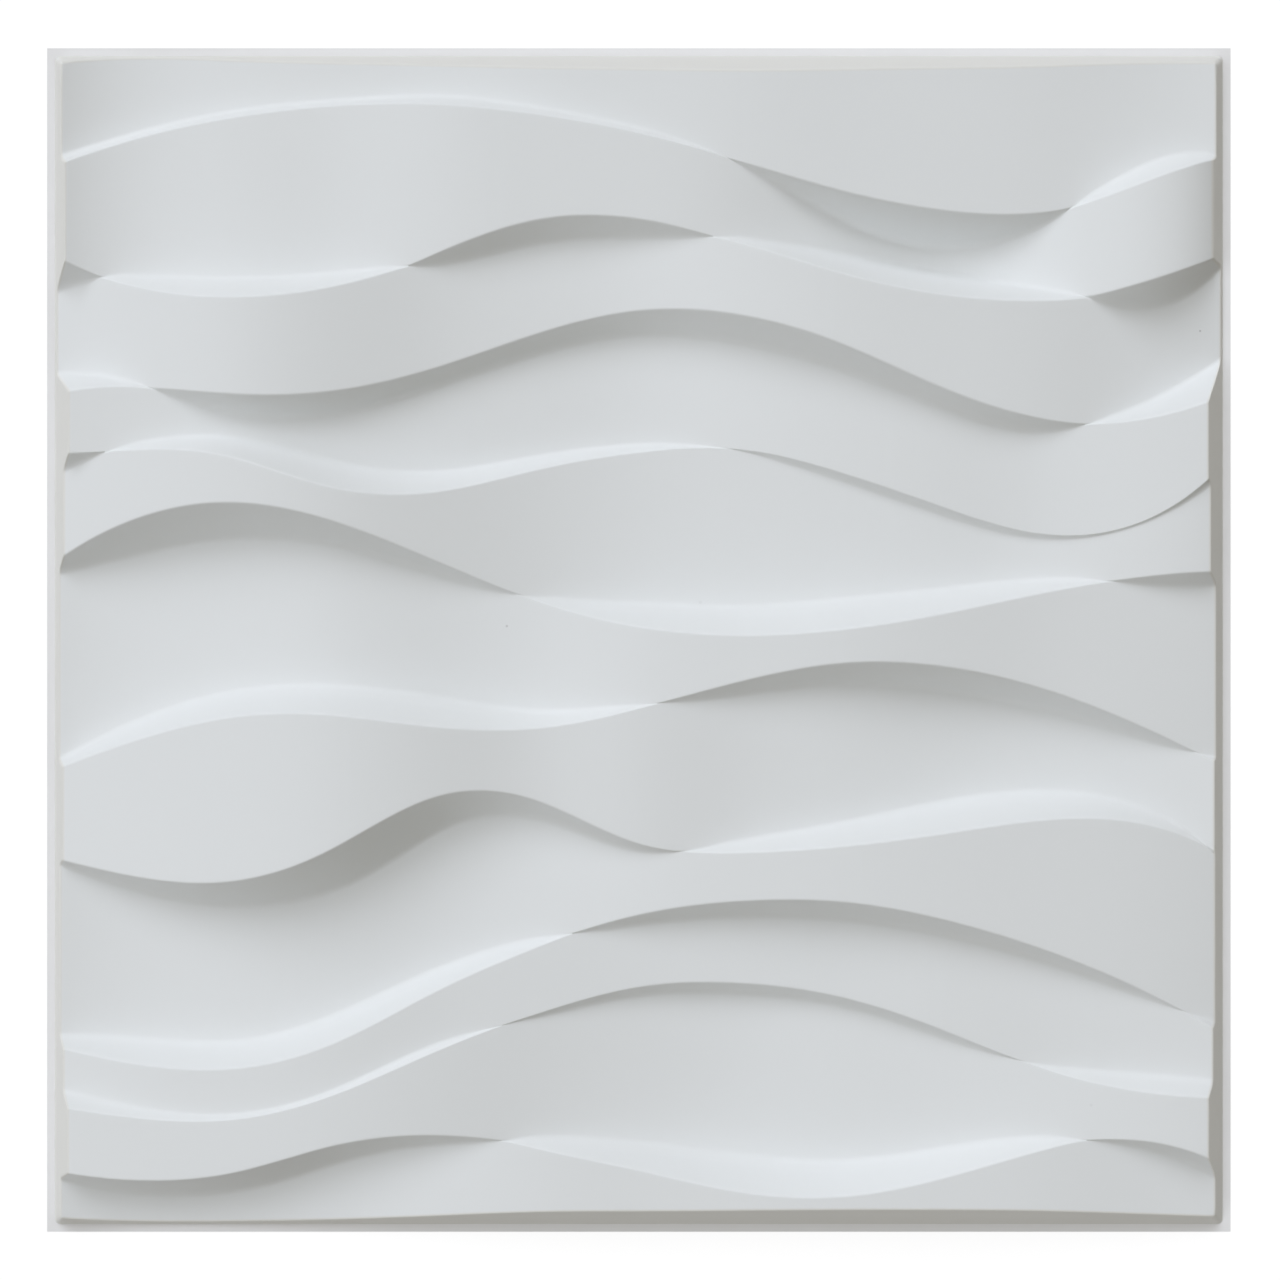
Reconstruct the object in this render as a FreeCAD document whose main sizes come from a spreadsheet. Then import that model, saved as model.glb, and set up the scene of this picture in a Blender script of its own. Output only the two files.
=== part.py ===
import FreeCAD, Part
import math
import os

# Wave relief wall tile, thermoformed from one sheet of rigid PVC
#
# The tile lies on its back: X runs across it, Y runs up it as it hangs, and Z is the
# relief. The origin is the middle of the back plane, which is the wall.
#
# Ten wave lines part the tile into eleven bands. Each band is a ribbon that is level
# from one of its lines to the other and rises and falls along X by itself. Where two
# bands meet at different heights, the higher one ends in a crisp edge on the line and a
# drafted wall falls from it to the lower one. Where they cross, the wall runs out to
# nothing and starts again on the other side.

SHEET_SIZES = [
    ("panel_width", 500, "outer width at the wall"),
    ("panel_height", 500, "outer height at the wall"),
    ("sheet_thickness", 1, "PVC sheet, measured along Z"),
    ("draft_angle", 35, "draft of every wall and of the rim, in degrees from Z"),
    ("corner_radius", 2.5, "outer corners, in plan"),
    ("mould_headroom", 15, "how far the rim taper runs on above the highest band"),
    ("run_out", 6, "how far the bands run past the rim before it trims them"),
]

# Wave lines, top to bottom: Y at evenly spaced stations from the left rim to the right
WAVE_LINES = [
    (193, 212, 219, 222.5, 220.5, 216, 208.5, 197.5, 186, 178.5, 178, 189, 204.5),
    (163, 146.5, 139.5, 144.5, 159, 172.5, 173, 163, 150, 142, 140.5, 147.5, 164.5),
    (99, 104.5, 100, 101.5, 113, 128, 137, 133.5, 121, 103.5, 91.5, 91.5, 105),
    (76, 78, 74.5, 62, 61, 71.5, 79, 80, 70, 56, 44.5, 49, 83),
    (30, 49, 55.5, 48.5, 32.5, 16, 5.5, 2, 4.5, 11, 19.5, 26, 28.5),
    (-56, -41.5, -31.5, -30, -35, -36, -28, -17, -9.5, -11, -20, -35.5, -55),
    (-91, -98, -98.5, -85, -64, -66, -83.5, -87, -84, -79, -74, -76, -94),
    (-169.5, -176, -176.5, -165.5, -145, -127.5, -113.5, -107, -107, -114.5, -127.5, -145, -168.5),
    (-192, -197, -197, -186.5, -169.5, -155.5, -145, -143.5, -149, -162, -178, -186.5, -189),
    (-218.5, -223, -219, -207.5, -204.5, -211, -219.5, -228, -229.5, -222, -211, -207, -222.5),
]

# Bands, top to bottom: height of the face above the wall at the same stations
BAND_HEIGHTS = [
    (12.5, 2.5, 6.5, 10.5, 13.5, 17, 19, 21, 19.5, 17.5, 15, 10.5, 10.5),
    (20, 9.5, 13.5, 16, 22.5, 23.5, 23, 20, 8.5, 2, 8.5, 21.5, 5.5),
    (1.5, 18, 29.5, 27, 18.5, 14.5, 16, 23.5, 26, 23.5, 19.5, 11, 2),
    (20.5, 20.5, 20.5, 16.5, 10.5, 6, 5.5, 11.5, 15.5, 15.5, 14, 19, 21.5),
    (9, 24, 32.5, 32.5, 23.5, 14, 10, 11, 12.5, 12.5, 12, 18, 15.5),
    (6.5, 8, 14.5, 19.5, 16.5, 16, 23.5, 27.5, 29.5, 26, 19.5, 15, 9),
    (9.5, 19.5, 28.5, 34.5, 31.5, 24.5, 25, 20.5, 17, 11.5, 8, 9, 14),
    (8, 7.5, 10.5, 11, 10, 13, 21, 25.5, 27.5, 26, 22, 17.5, 9.5),
    (11, 17.5, 21.5, 22.5, 18.5, 16, 14.5, 14, 14, 15, 14, 14, 15),
    (18, 21, 23.5, 24.5, 21, 14, 8.5, 6, 8, 10.5, 15, 20.5, 19.5),
    (9.5, 3.5, 4, 7, 12.5, 18, 19, 20, 21, 21, 19.5, 15, 10.5),
]

doc = FreeCAD.newDocument("wave_wall_tile")
sheet = doc.addObject("Spreadsheet::Sheet", "dims")


def write_size(column, row, alias, value):
    """Put one size in the sheet under its name."""
    cell = column + str(row)
    sheet.set(cell, str(value))
    sheet.setAlias(cell, alias)


def write_table(first_row, name, rows):
    """Put a table in the sheet: one row for each line or band, one column for each station."""
    for number, values in enumerate(rows, start=1):
        row = first_row + number
        sheet.set("A" + str(row), name + " " + str(number))
        for station, value in enumerate(values):
            write_size(chr(ord("B") + station), row, f"{name}_{number}_at_{station}", value)


for index, (alias, value, note) in enumerate(SHEET_SIZES, start=1):
    write_size("B", index, alias, value)
    sheet.set("A" + str(index), alias)
    sheet.set("C" + str(index), note)
LINE_TABLE_ROW = len(SHEET_SIZES) + 2
BAND_TABLE_ROW = LINE_TABLE_ROW + len(WAVE_LINES) + 2
write_table(LINE_TABLE_ROW, "line", WAVE_LINES)
write_table(BAND_TABLE_ROW, "band", BAND_HEIGHTS)
doc.recompute()

STATIONS = len(WAVE_LINES[0])
half_width = sheet.panel_width / 2
half_height = sheet.panel_height / 2
run_out = sheet.run_out
draft_slope = math.tan(math.radians(sheet.draft_angle))


def station_places():
    """X of each station, with one more past each rim where the bands run out."""
    step = sheet.panel_width / (STATIONS - 1)
    inside = [-half_width + step * number for number in range(STATIONS)]
    return [-half_width - run_out] + inside + [half_width + run_out]


def run_past_rims(values):
    """Carry a row of station values on past both rims at its end slopes."""
    reach = run_out / (sheet.panel_width / (STATIONS - 1))
    before = values[0] + (values[0] - values[1]) * reach
    after = values[-1] + (values[-1] - values[-2]) * reach
    return [before] + list(values) + [after]


def table_row(name, number):
    return run_past_rims([sheet.get(f"{name}_{number}_at_{k}") for k in range(STATIONS)])


places = station_places()
line_rows = [table_row("line", number + 1) for number in range(len(WAVE_LINES))]
band_rows = [table_row("band", number + 1) for number in range(len(BAND_HEIGHTS))]

# The first and last bands run past the rim, or past their own line where that is further
# out, and the rim trims them
top_end = max(half_height, max(line_rows[0])) + run_out
bottom_end = min(-half_height, min(line_rows[-1])) - run_out
line_rows.insert(0, [top_end] * len(places))
line_rows.append([bottom_end] * len(places))
highest_band = max(max(row) for row in band_rows)


def curve_through(ys, zs):
    """Smooth curve through one point at each station, with X itself as its parameter."""
    points = [FreeCAD.Vector(x, y, z) for x, y, z in zip(places, ys, zs)]
    curve = Part.BSplineCurve()
    curve.interpolate(Points=points, Parameters=places)
    return curve


def flank_foot(crest, side, floor):
    """Foot of the drafted flank that falls from a crest to the floor level."""
    ys = []
    for x in places:
        point = crest.value(x)
        tangent = crest.tangent(x)[0]
        across = math.hypot(tangent.x, tangent.y) / tangent.x
        ys.append(point.y + side * (point.z - floor) * draft_slope * across)
    return curve_through(ys, [floor] * len(places))


def band_ridge(upper_ys, lower_ys, heights, floor):
    """One band as a solid ridge: a face level across, two drafted flanks, a flat floor."""
    upper_crest = curve_through(upper_ys, heights)
    lower_crest = curve_through(lower_ys, heights)
    upper_foot = flank_foot(upper_crest, 1, floor)
    lower_foot = flank_foot(lower_crest, -1, floor)
    around = [curve.toShape() for curve in (upper_crest, lower_crest, lower_foot, upper_foot)]
    faces = []
    for number, edge in enumerate(around):
        faces.append(Part.makeRuledSurface(edge, around[(number + 1) % len(around)]))
    for x in (places[0], places[-1]):
        corners = [curve.value(x) for curve in (upper_crest, lower_crest, lower_foot, upper_foot)]
        faces.append(Part.Face(Part.makePolygon(corners + corners[:1])))
    shell = Part.makeShell(faces)
    shell.sewShape()
    solid = Part.makeSolid(shell)
    if solid.Volume < 0:
        solid.reverse()
    return solid


# Ridges of the eleven bands, down to a floor below the back plane
ridge_floor = -run_out
ridges = []
for number, heights in enumerate(band_rows):
    ridge = doc.addObject("Part::Feature", f"band_{number + 1}")
    ridge.Shape = band_ridge(line_rows[number], line_rows[number + 1], heights, ridge_floor)
    ridges.append(ridge)

relief = doc.addObject("Part::MultiFuse", "relief")
relief.Shapes = ridges

# Tapered block that gives the tile its rim: the outline at the wall, narrowing upwards
block = doc.addObject("Part::Wedge", "rim_block")
top_level = highest_band + sheet.mould_headroom
block.Ymin = 0
block.Ymax = top_level
block.setExpression("Xmin", "-dims.panel_width / 2")
block.setExpression("Xmax", "dims.panel_width / 2")
block.setExpression("Zmin", "-dims.panel_height / 2")
block.setExpression("Zmax", "dims.panel_height / 2")
block.setExpression("X2min", "Xmin + Ymax * tan(dims.draft_angle * 1 deg)")
block.setExpression("X2max", "Xmax - Ymax * tan(dims.draft_angle * 1 deg)")
block.setExpression("Z2min", "Zmin + Ymax * tan(dims.draft_angle * 1 deg)")
block.setExpression("Z2max", "Zmax - Ymax * tan(dims.draft_angle * 1 deg)")
block.Placement.Rotation = FreeCAD.Rotation(FreeCAD.Vector(1, 0, 0), 90)
doc.recompute()


def slanted_edges(shape):
    """Numbers of the edges that run from the outline at the wall up the taper."""
    found = []
    for number, edge in enumerate(shape.Edges, start=1):
        heights = [vertex.Z for vertex in edge.Vertexes]
        if max(heights) - min(heights) > sheet.mould_headroom / 2:
            found.append(number)
    return found


rim = doc.addObject("Part::Fillet", "rim")
rim.Base = block
rim.Edges = [(number, sheet.corner_radius, sheet.corner_radius) for number in slanted_edges(block.Shape)]

outer_form = doc.addObject("Part::MultiCommon", "outer_form")
outer_form.Shapes = [rim, relief]

# The hollow back follows the front, one sheet thickness lower
hollow = doc.addObject("Part::MultiCommon", "hollow")
hollow.Shapes = [rim, relief]
hollow.setExpression("Placement.Base.z", "-dims.sheet_thickness")

panel = doc.addObject("Part::Cut", "panel")
panel.Base = outer_form
panel.Tool = hollow
panel.Label = "wave_panel"
doc.recompute()


def check_document():
    """Stop if anything failed to build or is not one sound solid."""
    for item in doc.Objects:
        if "Invalid" in item.State or "Error" in item.State:
            raise RuntimeError(f"{item.Label} did not build: {item.State}")
        if hasattr(item, "Shape") and (item.Shape.isNull() or not item.Shape.isValid()):
            raise RuntimeError(f"{item.Label} has no valid shape")
    if len(panel.Shape.Solids) != 1:
        raise RuntimeError(f"{panel.Label} is {len(panel.Shape.Solids)} solids, not one")


check_document()
os.makedirs("parts", exist_ok=True)
panel.Shape.exportStep(f"parts/{panel.Label}.step")
box = panel.Shape.optimalBoundingBox()
print(f"{panel.Label}: {box.XLength:.2f} x {box.YLength:.2f} x {box.ZLength:.2f} mm")
print(f"volume {panel.Shape.Volume / 1000:.1f} cm3, faces {len(panel.Shape.Faces)}")
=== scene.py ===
# %% [markdown]
# # A wave relief wall tile
#
# The real object is one sheet of white PVC, a millimetre thick, that was warmed and
# drawn over a mould. It has a square rim and eleven wavy ribbons between ten wave
# lines. This script loads the tile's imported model, makes the finished sheet in its
# place, and lights and films it as the photograph does: from straight above, with the
# tile lying on its back.

# %% The frame
import math

import bpy
import numpy as np
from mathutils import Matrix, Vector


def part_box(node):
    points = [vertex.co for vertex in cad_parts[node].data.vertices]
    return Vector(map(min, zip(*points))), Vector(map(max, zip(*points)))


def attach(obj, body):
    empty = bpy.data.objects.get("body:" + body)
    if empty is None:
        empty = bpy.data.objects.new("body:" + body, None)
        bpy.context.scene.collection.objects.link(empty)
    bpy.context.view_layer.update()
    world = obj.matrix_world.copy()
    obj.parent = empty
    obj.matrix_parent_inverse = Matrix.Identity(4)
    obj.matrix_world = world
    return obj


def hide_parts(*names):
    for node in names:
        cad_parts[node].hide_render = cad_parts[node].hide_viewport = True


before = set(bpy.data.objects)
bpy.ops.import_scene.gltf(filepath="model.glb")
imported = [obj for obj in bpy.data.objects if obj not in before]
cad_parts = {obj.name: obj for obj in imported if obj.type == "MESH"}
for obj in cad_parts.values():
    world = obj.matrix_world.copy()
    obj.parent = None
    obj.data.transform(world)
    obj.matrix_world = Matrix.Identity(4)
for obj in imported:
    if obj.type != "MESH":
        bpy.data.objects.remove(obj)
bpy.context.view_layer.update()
low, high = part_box("wave_panel")
print("tile in the frame, metres:", [round(v, 4) for v in (*low, *high)])

# %% [markdown]
# ## The wave table
#
# The relief is described the way its mould maker would: where each wave line runs, and
# how high each ribbon stands, at thirteen stations across the tile. These are the same
# millimetres as in the tile's drawing. Between the stations a smooth cubic curve fills
# in, so the table stays short.

# %% The wave table, in millimetres
WAVE_LINES = [
    (193, 212, 219, 222.5, 220.5, 216, 208.5, 197.5, 186, 178.5, 178, 189, 204.5),
    (163, 146.5, 139.5, 144.5, 159, 172.5, 173, 163, 150, 142, 140.5, 147.5, 164.5),
    (99, 104.5, 100, 101.5, 113, 128, 137, 133.5, 121, 103.5, 91.5, 91.5, 105),
    (76, 78, 74.5, 62, 61, 71.5, 79, 80, 70, 56, 44.5, 49, 83),
    (30, 49, 55.5, 48.5, 32.5, 16, 5.5, 2, 4.5, 11, 19.5, 26, 28.5),
    (-56, -41.5, -31.5, -30, -35, -36, -28, -17, -9.5, -11, -20, -35.5, -55),
    (-91, -98, -98.5, -85, -64, -66, -83.5, -87, -84, -79, -74, -76, -94),
    (-169.5, -176, -176.5, -165.5, -145, -127.5, -113.5, -107, -107, -114.5, -127.5, -145, -168.5),
    (-192, -197, -197, -186.5, -169.5, -155.5, -145, -143.5, -149, -162, -178, -186.5, -189),
    (-218.5, -223, -219, -207.5, -204.5, -211, -219.5, -228, -229.5, -222, -211, -207, -222.5),
]
BAND_HEIGHTS = [
    (12.5, 2.5, 6.5, 10.5, 13.5, 17, 19, 21, 19.5, 17.5, 15, 10.5, 10.5),
    (20, 9.5, 13.5, 16, 22.5, 23.5, 23, 20, 8.5, 2, 8.5, 21.5, 5.5),
    (1.5, 18, 29.5, 27, 18.5, 14.5, 16, 23.5, 26, 23.5, 19.5, 11, 2),
    (20.5, 20.5, 20.5, 16.5, 10.5, 6, 5.5, 11.5, 15.5, 15.5, 14, 19, 21.5),
    (9, 24, 32.5, 32.5, 23.5, 14, 10, 11, 12.5, 12.5, 12, 18, 15.5),
    (6.5, 8, 14.5, 19.5, 16.5, 16, 23.5, 27.5, 29.5, 26, 19.5, 15, 9),
    (9.5, 19.5, 28.5, 34.5, 31.5, 24.5, 25, 20.5, 17, 11.5, 8, 9, 14),
    (8, 7.5, 10.5, 11, 10, 13, 21, 25.5, 27.5, 26, 22, 17.5, 9.5),
    (11, 17.5, 21.5, 22.5, 18.5, 16, 14.5, 14, 14, 15, 14, 14, 15),
    (18, 21, 23.5, 24.5, 21, 14, 8.5, 6, 8, 10.5, 15, 20.5, 19.5),
    (9.5, 3.5, 4, 7, 12.5, 18, 19, 20, 21, 21, 19.5, 15, 10.5),
]
MM = 0.001
SHEET = 1.0
DRAFT = math.tan(math.radians(35))
CORNER = 2.5
half_x = high.x / MM
half_y = high.y / MM
stations = np.linspace(-half_x, half_x, len(WAVE_LINES[0]))
print(len(WAVE_LINES), "wave lines,", len(BAND_HEIGHTS), "bands,", len(stations), "stations")

# %% [markdown]
# ## Smooth curves through the stations
#
# A cubic spline is the curve that a thin steel rule takes when it is bent round pins.
# One small solver gives it for any row of the table, with its slope, because the walls
# need the direction of their wave line as well as its place.

# %% Smooth curves through the stations
SLOPE_STEP = 1.0


def end_slope(xs, ys):
    """Slope at the first of four points, from the one cubic that passes through them."""
    cubic = np.polyfit(xs[:4] - xs[0], ys[:4], 3)
    return cubic[2]


def spline_slopes(xs, ys):
    """Slope of the smooth curve at each station, with the end slopes held."""
    count = len(xs)
    steps = np.diff(xs)
    rises = np.diff(ys) / steps
    matrix = np.zeros((count, count))
    target = np.zeros(count)
    matrix[0, 0] = matrix[-1, -1] = 1
    target[0] = end_slope(xs, ys)
    target[-1] = end_slope(xs[::-1], ys[::-1])
    for k in range(1, count - 1):
        matrix[k, k - 1] = steps[k]
        matrix[k, k] = 2 * (steps[k - 1] + steps[k])
        matrix[k, k + 1] = steps[k - 1]
        target[k] = 3 * (steps[k] * rises[k - 1] + steps[k - 1] * rises[k])
    return np.linalg.solve(matrix, target)


def smooth_curve(ys):
    """Functions for the height of a smooth curve through the stations, and its slope."""
    xs = stations
    ys = np.array(ys, float)
    slopes = spline_slopes(xs, ys)

    def place(x):
        """Number of the span that holds x, its length, and how far along it x is."""
        k = np.clip(np.searchsorted(xs, x) - 1, 0, len(xs) - 2)
        step = xs[k + 1] - xs[k]
        return k, step, (x - xs[k]) / step

    def value(x):
        """Height of the curve."""
        k, step, t = place(x)
        rise = ys[k + 1] - ys[k]
        bend = step * slopes[k] - rise
        back = rise - step * slopes[k + 1]
        return (1 - t) * ys[k] + t * ys[k + 1] + t * (1 - t) * ((1 - t) * bend + t * back)

    def slope(x):
        """Slope of the curve, from two heights a short step apart."""
        return (value(x + SLOPE_STEP / 2) - value(x - SLOPE_STEP / 2)) / SLOPE_STEP

    return value, slope


line_curves = [smooth_curve(row) for row in WAVE_LINES]
band_curves = [smooth_curve(row) for row in BAND_HEIGHTS]
print("first wave line at the middle of the tile:", round(float(line_curves[0][0](0.0)), 2), "mm")

# %% [markdown]
# ## How the sheet bends
#
# A drawn sheet has no sharp corner. It wraps the top of each wall with a small radius,
# and bridges the foot of the wall with a larger one. A bevel modifier could round such
# edges, but not with a radius that changes along them. Here a smooth minimum of two
# heights rounds a top edge, and a smooth maximum rounds a foot.

# %% How the sheet bends
CREST_BLEND = 0.6
FOOT_BLEND = 2.4
LEAST_BLEND = 1e-6


def smooth_min(a, b, blend):
    """The lower of two heights, eased over a difference of blend."""
    near = np.maximum(blend - np.abs(a - b), 0)
    return np.minimum(a, b) - near * near / (4 * np.maximum(blend, LEAST_BLEND))


def smooth_max(a, b, blend):
    """The higher of two heights, eased in the same way."""
    return -smooth_min(-a, -b, blend)


print("a crest is eased by", round(-float(smooth_min(0.0, 0.0, CREST_BLEND)), 3), "mm")
print("a foot is eased by", round(float(smooth_max(0.0, 0.0, FOOT_BLEND)), 3), "mm")

# %% [markdown]
# ## The relief
#
# Each ribbon is a ridge: level from one of its wave lines to the other, with a drafted
# flank on both sides. The relief is the highest ridge at every place, so a wall appears
# wherever one ribbon stands above the next, and changes sides where they cross. The
# bends shrink to nothing as a wall runs out, so that two ribbons meet flush at their
# crossing. Sculpting could give the same look, but not the same form as the drawing.

# %% The relief
FULL_WALL = 4.0


def wall_share(x, line):
    """How much of a wall is at a wave line: 0 where the ribbons cross, 1 where it is full."""
    drop = band_curves[line][0](x) - band_curves[line + 1][0](x)
    return np.clip(np.abs(drop) / FULL_WALL, 0, 1)


def wall_run(x, line):
    """Plan width that the draft gives to each millimetre of wall, allowing for its direction."""
    return DRAFT * np.sqrt(1 + line_curves[line][1](x) ** 2)


def relief_height(x, y):
    """Height of the relief above the wall, before the rim cuts it."""
    height = None
    for band, (ribbon, _) in enumerate(band_curves):
        ridge = ribbon(x)
        if band > 0:
            flank = ribbon(x) + (line_curves[band - 1][0](x) - y) / wall_run(x, band - 1)
            ridge = smooth_min(ridge, flank, CREST_BLEND * wall_share(x, band - 1))
        if band < len(line_curves):
            flank = ribbon(x) + (y - line_curves[band][0](x)) / wall_run(x, band)
            ridge = smooth_min(ridge, flank, CREST_BLEND * wall_share(x, band))
        if height is None:
            height = ridge
        else:
            height = smooth_max(height, ridge, FOOT_BLEND * wall_share(x, band - 1))
    return height


print("relief at the middle:", round(float(relief_height(np.array(0.0), np.array(0.0))), 2), "mm")

# %% [markdown]
# ## Rows across a wall
#
# A plain grid would cross the wave lines at an angle and give every crest a saw edge.
# Here the rows of the mesh follow the wave lines instead. Each wall has its own rows,
# close together at its crest and foot, where the sheet bends, and wider between them,
# where it is straight. A wall narrower than about ten millimetres has the same rows,
# drawn closer together.

# %% Rows across a wall
FINE_STEPS = np.array([0.0, 0.45, 0.9, 1.35, 1.9, 2.6, 3.4, 4.4])
FULL_WIDTH = 10.12
WALL_MIDDLE = 3
CREST_MARGIN = 0.9
FOOT_MARGIN = 2.4


def between(first, last, count):
    """Some evenly spaced places between two others."""
    return [first + (last - first) * k / (count + 1) for k in range(1, count + 1)]


def wall_steps(width):
    """Distances across a wall of some width: fine at both ends and even between them."""
    scale = np.minimum(1, width / FULL_WIDTH)
    near = [step * scale for step in FINE_STEPS]
    far = [width - step * scale for step in FINE_STEPS[::-1]]
    return near + between(near[-1], far[0], WALL_MIDDLE) + far


def wall_rows(x, line):
    """Y of each mesh row across the wall at a wave line, from the top down."""
    drop = band_curves[line][0](x) - band_curves[line + 1][0](x)
    run = wall_run(x, line)
    foot = FOOT_MARGIN * wall_share(x, line)
    above = CREST_MARGIN + np.maximum(-drop, 0) * run + foot * (drop < 0)
    below = CREST_MARGIN + np.maximum(drop, 0) * run + foot * (drop > 0)
    top = line_curves[line][0](x) + above
    return [top - step for step in wall_steps(above + below)]


print(len(wall_rows(np.array(0.0), 0)), "rows across the first wall")

# %% [markdown]
# ## Rows up the rim, and the whole set
#
# The top and bottom rims are walls too, so they also have close rows at their foot and
# crest. Between two walls a ribbon is level from one wave line to the next, and a few
# rows carry it. Putting all of these in order gives every row of the tile at one X.

# %% Rows up the rim, and the whole set
RIBBON_ROWS = 3
RIM_FOOT = np.array([0.3, 0.7, 1.2, 1.8])
RIM_EVEN = 5
RIM_CREST = np.array([1.5, 1.0, 0.5, 0.0])
FULL_RIM = 5.0


def rim_steps(height):
    """Distances in from the outline up the rim's taper, fine at its foot and at its crest."""
    width = height * DRAFT + CREST_MARGIN
    scale = np.minimum(1, width / FULL_RIM)
    foot = [0 * width] + [step * scale for step in RIM_FOOT]
    crest = [width - step * scale for step in RIM_CREST]
    return foot + between(foot[-1], crest[0], RIM_EVEN) + crest


def all_rows(x, half):
    """Y of every mesh row at some X, from the top outline to the bottom one."""
    rows = [half - step for step in rim_steps(band_curves[0][0](x))]
    for line in range(len(line_curves)):
        wall = wall_rows(x, line)
        rows += between(rows[-1], wall[0], RIBBON_ROWS) + wall
    last = [step - half for step in rim_steps(band_curves[-1][0](x))][::-1]
    return np.array(rows + between(rows[-1], last[0], RIBBON_ROWS) + last)


print(len(all_rows(np.array(0.0), half_y)), "rows")

# %% [markdown]
# ## Columns that follow the side rims
#
# Every ribbon meets the left and right rims at its own height, so the top of the rim
# runs in and out there, and a straight column would saw through it. The place of that
# edge depends on the height, and the height on the place. Each row therefore starts from
# a guess and comes closer in a few rounds. It has close columns up to the edge, wider
# ones after it, and even ones over the middle of the tile, where the ribbons change
# slowly.

# %% Columns that follow the side rims
SIDE_ZONE = 32
ZONE_COLUMNS = 7
INNER_COLUMNS = 148
FINE_COLUMNS = 1001
FIRST_GUESS = 8.0
ROUNDS = 12


def side_columns(rows_along, half, side):
    """X of each row's columns from a side outline to the zone's inner edge."""
    fine_x, row_table = rows_along
    crest = np.full(len(row_table), side * (half - FIRST_GUESS))
    end_heights = np.array([band_curves[0][0](side * half), band_curves[-1][0](side * half)])
    reach = half_y - end_heights * DRAFT
    for _ in range(ROUNDS):
        y = np.array([np.interp(c, fine_x, row) for c, row in zip(crest, row_table)])
        y = np.clip(y, -reach[1] + CREST_MARGIN, reach[0] - CREST_MARGIN)
        height = relief_height(crest, y)
        crest = side * (half - height * DRAFT)
    steps = rim_steps(height)
    steps += between(steps[-1], SIDE_ZONE + 0 * height, ZONE_COLUMNS) + [SIDE_ZONE + 0 * height]
    return [side * (half - step) for step in steps]


def skin_grid(inset):
    """X and Y of the mesh points of the outer skin, or of the inner one with an inset."""
    width, length = half_x - inset, half_y - inset
    fine_x = np.linspace(-half_x, half_x, FINE_COLUMNS)
    row_table = all_rows(fine_x, length)
    left = side_columns((fine_x, row_table), width, -1)
    right = side_columns((fine_x, row_table), width, 1)
    columns = left + between(left[-1], right[-1], INNER_COLUMNS) + right[::-1]
    x = np.array(columns).T
    y = np.array([np.interp(xs, fine_x, row) for xs, row in zip(x, row_table)])
    return x, y


outer_x, outer_y = skin_grid(0)
print(outer_x.shape, "rows and columns in a skin")

# %% [markdown]
# ## The rim and the corners
#
# The rim is a taper cut into the ribbons, like the walls of a baking tin. It flares out
# at its foot, where the sheet was cut from its waste. The grid is still square at the
# outer corners, so the points near each corner are drawn in along its diagonal. That
# rounds it without the new faces that a bevel would need.

# %% The rim and the corners
RIM_FLARE = 0.7


def skin_height(x, y):
    """Height of the outer face: the rim flares at its foot and rounds into the relief."""
    inward = np.maximum(np.minimum(half_x - np.abs(x), half_y - np.abs(y)), 0)
    rim = inward / DRAFT * (1 - np.exp(-inward / RIM_FLARE))
    return smooth_min(relief_height(x, y), rim, CREST_BLEND)


def round_corners(x, y, inset):
    """Draw the points near an outer corner in along its diagonal, which rounds the corner."""
    from_side = half_x - inset - np.abs(x)
    from_end = half_y - inset - np.abs(y)
    near = np.maximum(CORNER - np.abs(from_side - from_end), 0)
    fade = np.clip(1 - np.minimum(from_side, from_end) / SIDE_ZONE, 0, 1)
    shift = near * near / (4 * CORNER) * fade
    return x - np.sign(x) * shift, y - np.sign(y) * shift


print("highest point:", round(float(skin_height(outer_x, outer_y).max()), 2), "mm")

# %% [markdown]
# ## Two skins
#
# The tile is hollow behind. Its front skin comes first, then the same skin one
# thickness lower as the back. A Solidify modifier would push the back out square to the
# surface, but the drawing measures the thickness straight down, so both are made from
# the same heights. The back's outline is a little smaller, as far as the taper leans in
# over that thickness. A loop of point numbers round the outline is kept for the edge.


# %% Two skins
def skin_points(inset, drop):
    """Points of one skin in metres, row by row."""
    x, y = skin_grid(inset)
    z = np.maximum(skin_height(x, y) - drop, 0)
    x, y = round_corners(x, y, inset)
    return np.stack([x, y, z], axis=-1).reshape(-1, 3) * MM


def outline_loop(rows, columns):
    """Numbers of the points round the outline of a skin, in order."""
    top = [k for k in range(columns)]
    right = [k * columns + columns - 1 for k in range(1, rows)]
    bottom = [(rows - 1) * columns + k for k in range(columns - 2, -1, -1)]
    left = [k * columns for k in range(rows - 2, 0, -1)]
    return top + right + bottom + left


front_points = skin_points(0, 0)
back_points = skin_points(DRAFT * SHEET, SHEET)
print(len(front_points) + len(back_points), "points in the two skins")

# %% [markdown]
# ## The sheet
#
# Front, back and a narrow cut edge, where the tile meets the wall, make one closed
# mesh. The back's faces are wound the other way round, so that every face looks out of
# the plastic. Smooth shading lets the small bends catch the light as one surface, and
# edges that turn more than forty degrees, such as the cut edge, stay sharp.

# %% The sheet
SHARP_EDGE = math.radians(40)


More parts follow.
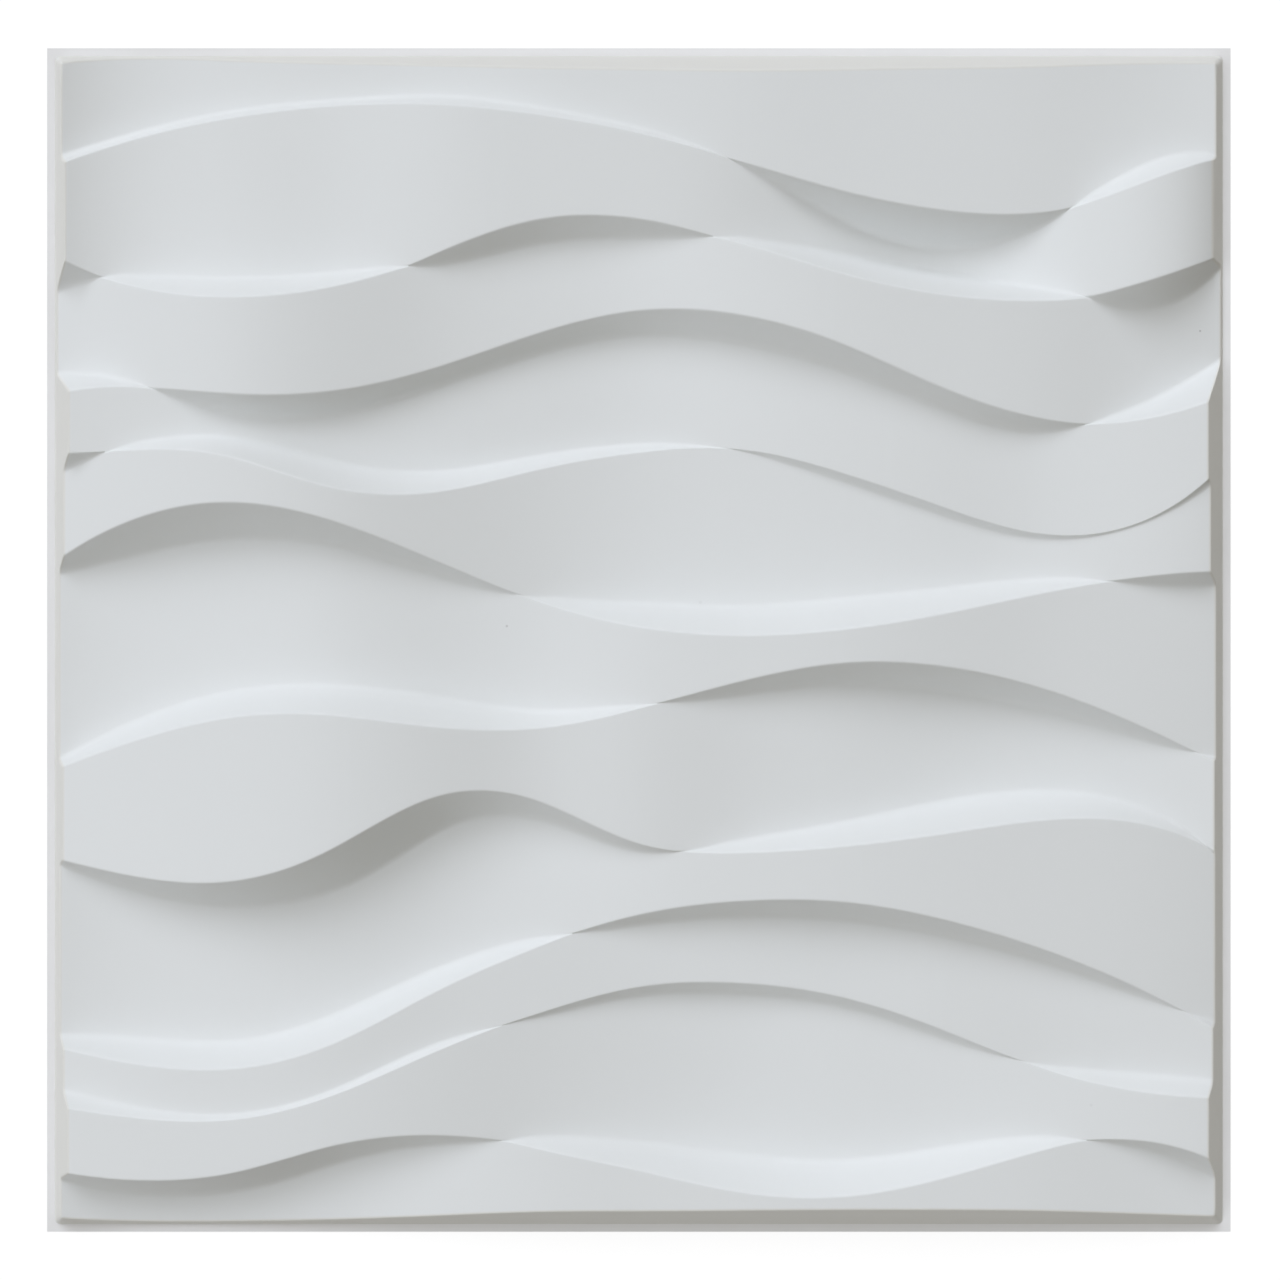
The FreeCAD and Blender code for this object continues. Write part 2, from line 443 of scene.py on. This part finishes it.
def build_sheet():
    """One closed mesh of the whole sheet: front skin, hollow back and cut edge."""
    rows, columns = outer_x.shape
    points = np.concatenate([front_points, back_points])
    count = rows * columns
    faces = []
    for r in range(rows - 1):
        for c in range(columns - 1):
            a = r * columns + c
            faces.append((a, a + columns, a + columns + 1, a + 1))
            a += count
            faces.append((a, a + 1, a + columns + 1, a + columns))
    loop = outline_loop(rows, columns)
    for here, after in zip(loop, loop[1:] + loop[:1]):
        faces.append((here, after, after + count, here + count))
    mesh = bpy.data.meshes.new("wave_sheet")
    mesh.from_pydata(points.tolist(), [], faces)
    mesh.update()
    mesh.shade_smooth()
    mesh.set_sharp_from_angle(angle=SHARP_EDGE)
    sheet = bpy.data.objects.new("wave_sheet", mesh)
    bpy.context.scene.collection.objects.link(sheet)
    return sheet


wave_sheet = build_sheet()
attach(wave_sheet, "root")
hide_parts("wave_panel")
print(len(wave_sheet.data.polygons), "faces in the sheet")

# %% [markdown]
# ## White PVC
#
# Bare thermoformed PVC is a matt white with a faint satin sheen. It has no print and no
# grain, so it needs no picture file. Nodes alone make it, in the object's own metres,
# and stay sharp however close the camera comes. The finish starts here as a plain
# Principled shader, and the next four steps add to it.

# %% White PVC
PVC_SPECULAR = 0.18


def new_material(name):
    """An empty node material with a Principled shader."""
    material = bpy.data.materials.new(name)
    material.use_nodes = True
    tree = material.node_tree
    tree.nodes.clear()
    shader = tree.nodes.new("ShaderNodeBsdfPrincipled")
    output = tree.nodes.new("ShaderNodeOutputMaterial")
    tree.links.new(shader.outputs["BSDF"], output.inputs["Surface"])
    return material, tree, shader


pvc, pvc_tree, pvc_shader = new_material("white_pvc")
pvc_shader.inputs["Specular IOR Level"].default_value = PVC_SPECULAR
sheet_place = pvc_tree.nodes.new("ShaderNodeTexCoord").outputs["Object"]
wave_sheet.data.materials.append(pvc)
print("finish:", pvc.name)

# %% [markdown]
# ## A slow drift in the white
#
# The white of such a sheet is very even, but not as even as one number. A wide, soft
# noise mixes two whites that are two per cent apart. It is barely seen, and more of it
# would look like dirt. The two helpers here serve the next steps as well.

# %% A slow drift in the white
WHITE_LOW = (0.752, 0.773, 0.774)
WHITE_HIGH = (0.770, 0.790, 0.792)
DRIFT_SCALE = 9


def noise(tree, place, scale, detail):
    """Noise texture in the object's own metres."""
    node = tree.nodes.new("ShaderNodeTexNoise")
    node.inputs["Scale"].default_value = scale
    node.inputs["Detail"].default_value = detail
    tree.links.new(place, node.inputs["Vector"])
    return node.outputs["Fac"]


def mix_colours(tree, factor, first, second):
    """One colour Mix node; each colour is another node's output or three plain numbers."""
    node = tree.nodes.new("ShaderNodeMix")
    node.data_type = "RGBA"
    tree.links.new(factor, node.inputs["Factor"])
    for name, source in (("A", first), ("B", second)):
        if isinstance(source, tuple):
            node.inputs[name].default_value = (*source, 1)
        else:
            tree.links.new(source, node.inputs[name])
    return node.outputs["Result"]


drift = noise(pvc_tree, sheet_place, DRIFT_SCALE, detail=2)
soft_white = mix_colours(pvc_tree, drift, WHITE_LOW, WHITE_HIGH)
print("white drifts from", WHITE_LOW, "to", WHITE_HIGH)

# %% [markdown]
# ## The drawn rim and its painted shade
#
# The rim is drawn deepest and thinnest. Its white is painted a touch darker and
# warmer there. That is painted shade, standing in for the dim, warm light that the rims
# get. It could be a second material on its own faces, but then its border would be as
# sharp as a face. A mask finds it by its shape instead: a point is on the taper where its
# distance from the outline is its height times the draft.

# %% The drawn rim and its painted shade
# painted shade: a darker, warmer white for the rim's taper, in place of its dim warm light
RIM_PAINTED_SHADE = (0.735, 0.733, 0.700)
RIM_MASK_FROM = 0.4
RIM_MASK_TO = 1.2


def math_step(tree, operation, first, second):
    """One Math node; each input is another node's output or a plain number."""
    node = tree.nodes.new("ShaderNodeMath")
    node.operation = operation
    for socket, source in zip(node.inputs, (first, second)):
        if isinstance(source, (int, float)):
            socket.default_value = source
        else:
            tree.links.new(source, socket)
    return node.outputs["Value"]


def painted_shade_rim_mask(tree, place):
    """1 on the rim's taper, where the sheet is drawn thinnest and shade is painted, 0 on the
    ribbons.
    """
    axes = tree.nodes.new("ShaderNodeSeparateXYZ")
    tree.links.new(place, axes.inputs["Vector"])
    inward = []
    for axis, half in (("X", half_x), ("Y", half_y)):
        out = math_step(tree, "ABSOLUTE", axes.outputs[axis], 0.0)
        inward.append(math_step(tree, "SUBTRACT", half * MM, out))
    nearest = math_step(tree, "MINIMUM", inward[0], inward[1])
    taper = math_step(tree, "MULTIPLY", axes.outputs["Z"], DRAFT)
    edge = tree.nodes.new("ShaderNodeMapRange")
    edge.inputs["From Min"].default_value = RIM_MASK_FROM * MM
    edge.inputs["From Max"].default_value = RIM_MASK_TO * MM
    edge.inputs["To Min"].default_value = 1
    edge.inputs["To Max"].default_value = 0
    tree.links.new(math_step(tree, "SUBTRACT", nearest, taper), edge.inputs["Value"])
    return edge.outputs["Result"]


# the painted shade goes on the rim's taper
rim_painted_shade = mix_colours(pvc_tree, painted_shade_rim_mask(pvc_tree, sheet_place), soft_white, RIM_PAINTED_SHADE)
print("rim is", RIM_PAINTED_SHADE)

# %% [markdown]
# ## Four specks
#
# Four tiny specks of dust show in the photograph. Each could be a scrap of geometry, but
# at a millimetre across a soft dot in the colour is enough. It is the distance from the
# speck's place, seen from above, turned into a small share of grey.

# %% Four specks
SPECK_GREY = (0.32, 0.32, 0.32)
SPECK_CORE = 0.4
# X, Y and radius in millimetres, and the share of grey in the middle
SPECKS = [
    (238.5, 131.3, 0.6, 0.6),
    (-55.0, 5.8, 0.7, 0.4),
    (25.9, 15.8, 1.0, 0.1),
    (187.6, -192.9, 0.8, 0.1),
]


def speck_mask(tree, place):
    """Soft dots as SPECKS gives them, and 0 everywhere else."""
    flat = tree.nodes.new("ShaderNodeVectorMath")
    flat.operation = "MULTIPLY"
    flat.inputs[1].default_value = (1, 1, 0)
    tree.links.new(place, flat.inputs[0])
    total = 0.0
    for x, y, radius, share in SPECKS:
        gap = tree.nodes.new("ShaderNodeVectorMath")
        gap.operation = "DISTANCE"
        gap.inputs[1].default_value = (x * MM, y * MM, 0)
        tree.links.new(flat.outputs["Vector"], gap.inputs[0])
        dot = tree.nodes.new("ShaderNodeMapRange")
        dot.inputs["From Min"].default_value = SPECK_CORE * radius * MM
        dot.inputs["From Max"].default_value = radius * MM
        dot.inputs["To Min"].default_value = share
        dot.inputs["To Max"].default_value = 0
        tree.links.new(gap.outputs["Value"], dot.inputs["Value"])
        total = math_step(tree, "MAXIMUM", total, dot.outputs["Result"])
    return total


sheet_white = mix_colours(pvc_tree, speck_mask(pvc_tree, sheet_place), rim_painted_shade, SPECK_GREY)
pvc_tree.links.new(sheet_white, pvc_shader.inputs["Base Color"])
print(len(SPECKS), "specks")

# %% [markdown]
# ## Satin sheen and egg-shell skin
#
# A drawn sheet keeps a little of the mould's texture. A noise varies the roughness
# around a half, which gives the faint satin, and a much finer one feeds a Bump node with
# a skin like that of an egg, which breaks the sheen up. That skin is far too fine for
# the mesh.

# %% Satin sheen and egg-shell skin
ROUGH_FROM = 0.50
ROUGH_TO = 0.58
SHEEN_SCALE = 60
SKIN_SCALE = 900
SKIN_STRENGTH = 0.06
SKIN_DEPTH = 0.3

sheen = pvc_tree.nodes.new("ShaderNodeMapRange")
sheen.inputs["To Min"].default_value = ROUGH_FROM
sheen.inputs["To Max"].default_value = ROUGH_TO
pvc_tree.links.new(noise(pvc_tree, sheet_place, SHEEN_SCALE, detail=3), sheen.inputs["Value"])
pvc_tree.links.new(sheen.outputs["Result"], pvc_shader.inputs["Roughness"])
skin = pvc_tree.nodes.new("ShaderNodeBump")
skin.inputs["Strength"].default_value = SKIN_STRENGTH
skin.inputs["Distance"].default_value = SKIN_DEPTH * MM
pvc_tree.links.new(noise(pvc_tree, sheet_place, SKIN_SCALE, detail=2), skin.inputs["Height"])
pvc_tree.links.new(skin.outputs["Normal"], pvc_shader.inputs["Normal"])
print(len(pvc_tree.nodes), "nodes in the finish")

# %% [markdown]
# ## The board
#
# The tile lies on a pale board. The photograph was cut out a few millimetres beyond the
# tile, so only a narrow edge of the board shows, with the tile's shadow on it. One flat
# square is enough for that. It stops where the picture turns plain white, and lies a
# hair below the tile, so that the two faces don't flicker through each other.

# %% The board
BOARD_EDGE = 253.4
BOARD_LEVEL = -0.2
BOARD_GREY = 0.83
MATT_ROUGHNESS = 0.9
MATT_SPECULAR = 0.1
SQUARE_CORNERS = [(-1, -1), (1, -1), (1, 1), (-1, 1)]


def flat_square(name, half, level):
    """A square plane in the stage, centred under the tile, from its sizes in millimetres."""
    mesh = bpy.data.meshes.new(name)
    corners = [(x * half * MM, y * half * MM, level * MM) for x, y in SQUARE_CORNERS]
    mesh.from_pydata(corners, [], [(0, 1, 2, 3)])
    plane = bpy.data.objects.new(name, mesh)
    bpy.context.scene.collection.objects.link(plane)
    return plane


def matt_finish(name, grey):
    """A matt grey for the board, or for the paper under it."""
    material, tree, shader = new_material(name)
    shader.inputs["Base Color"].default_value = (grey, grey, grey, 1)
    shader.inputs["Roughness"].default_value = MATT_ROUGHNESS
    shader.inputs["Specular IOR Level"].default_value = MATT_SPECULAR
    return material, tree, shader


board = flat_square("board", BOARD_EDGE, BOARD_LEVEL)
board.data.materials.append(matt_finish("board", BOARD_GREY)[0])
print("board", 2 * BOARD_EDGE, "mm across")

# %% [markdown]
# ## White paper round it
#
# Beyond the board the picture is plain white, so the board lies on white paper. Paper
# as bright as that would throw light up at the rim, which the photograph doesn't show.
# So the lamps find it grey, and where the camera sees it, or a sheen mirrors it, a glow
# from the Light Path node lifts it to white. The tile's faint shadow stays on it.

# %% White paper round it
PAPER_HALF = 3000
PAPER_LEVEL = -0.4
PAPER_GREY = 0.25
PAPER_GLOW = 0.82


def seen_or_mirrored(tree):
    """1 where the camera sees something, or a sheen or glass shows it, and 0 to the light."""
    rays = tree.nodes.new("ShaderNodeLightPath").outputs
    mirrored = math_step(tree, "MAXIMUM", rays["Is Glossy Ray"], rays["Is Transmission Ray"])
    return math_step(tree, "MAXIMUM", rays["Is Camera Ray"], mirrored)


def white_paper():
    """Grey paper to the lamps, which glows just enough to be white where it is seen."""
    material, tree, shader = matt_finish("white_paper", PAPER_GREY)
    shader.inputs["Emission Color"].default_value = (1, 1, 1, 1)
    glow = math_step(tree, "MULTIPLY", seen_or_mirrored(tree), PAPER_GLOW)
    tree.links.new(glow, shader.inputs["Emission Strength"])
    return material


floor = flat_square("floor", PAPER_HALF, PAPER_LEVEL)
floor.data.materials.append(white_paper())
print("paper", 2 * PAPER_HALF * MM, "m across")

# %% [markdown]
# ## The room
#
# The shaded walls and the dark rim are a little warmer than the lit ones, so the room
# that fills them in is dim and warm. One plain World colour could not also be the white
# backdrop. So two Backgrounds are mixed by the same Light Path test as for the paper:
# the dim one lights the tile, and the white one is what the camera and a sheen find.

# %% The room
ROOM_COLOUR = (1, 0.86, 0.565, 1)
ROOM_STRENGTH = 0.165
scene = bpy.context.scene
scene.view_settings.view_transform = "Standard"
world = bpy.data.worlds.new("room")
world.use_nodes = True
room = world.node_tree
dim = room.nodes["Background"]
dim.inputs["Color"].default_value = ROOM_COLOUR
dim.inputs["Strength"].default_value = ROOM_STRENGTH
white = room.nodes.new("ShaderNodeBackground")
white.inputs["Color"].default_value = (1, 1, 1, 1)
white.inputs["Strength"].default_value = 1
backdrop = room.nodes.new("ShaderNodeMixShader")
room.links.new(seen_or_mirrored(room), backdrop.inputs["Fac"])
room.links.new(dim.outputs["Background"], backdrop.inputs[1])
room.links.new(white.outputs["Background"], backdrop.inputs[2])
room.links.new(backdrop.outputs["Shader"], room.nodes["World Output"].inputs["Surface"])
scene.world = world
print("room strength", ROOM_STRENGTH)

# %% [markdown]
# ## Three soft lights
#
# The photograph was lit softly from above and from the left. Walls that face up are
# bright, walls that face down are a soft grey with a short shadow at the foot, and the
# right rim is dark. Area lamps would do, but at this distance a Sun with a wide angle
# gives the same soft light evenly over the whole tile, and is easier to aim. The main
# one stands beyond the top of the picture, the second on the left and higher. A weak
# low one on the right keeps the right ends of the ribbons open. All three are as cool
# as daylight.

# %% Three soft lights
LAMP_COLOUR = (0.96, 1.0, 1.09)


def soft_light(name, elevation, azimuth, energy, size):
    """A broad far light, placed by its angle above the tile and round from the right."""
    lamp = bpy.data.lights.new(name, "SUN")
    lamp.energy = energy
    lamp.angle = math.radians(size)
    lamp.color = LAMP_COLOUR
    stand = bpy.data.objects.new(name, lamp)
    tilt = math.radians(90 - elevation)
    stand.rotation_euler = (0, tilt, math.radians(azimuth))
    scene.collection.objects.link(stand)


soft_light("top", elevation=36, azimuth=104, energy=1.72, size=36)
soft_light("left", elevation=50, azimuth=200, energy=1.29, size=40)
soft_light("right", elevation=22, azimuth=30, energy=0.33, size=40)

# %% [markdown]
# ## Camera
#
# The photograph looks straight down. The walls near the top and bottom of the picture
# lean apart, which puts the camera a little under 0.6 m above the tile.

# %% Camera
CAMERA_HEIGHT = 577
CAMERA_RIGHT = 0.5
PICTURE_PIXELS = 1280
PIXELS_PER_MM = 2.336
SENSOR = 36.0
picture_width = PICTURE_PIXELS / PIXELS_PER_MM
camera_data = bpy.data.cameras.new("camera")
camera_data.sensor_width = SENSOR
camera_data.lens = SENSOR * CAMERA_HEIGHT / picture_width
camera = bpy.data.objects.new("camera", camera_data)
camera.location = (CAMERA_RIGHT * MM, 0.0, CAMERA_HEIGHT * MM)
scene.collection.objects.link(camera)
scene.camera = camera
print("lens", round(camera_data.lens, 2), "mm")
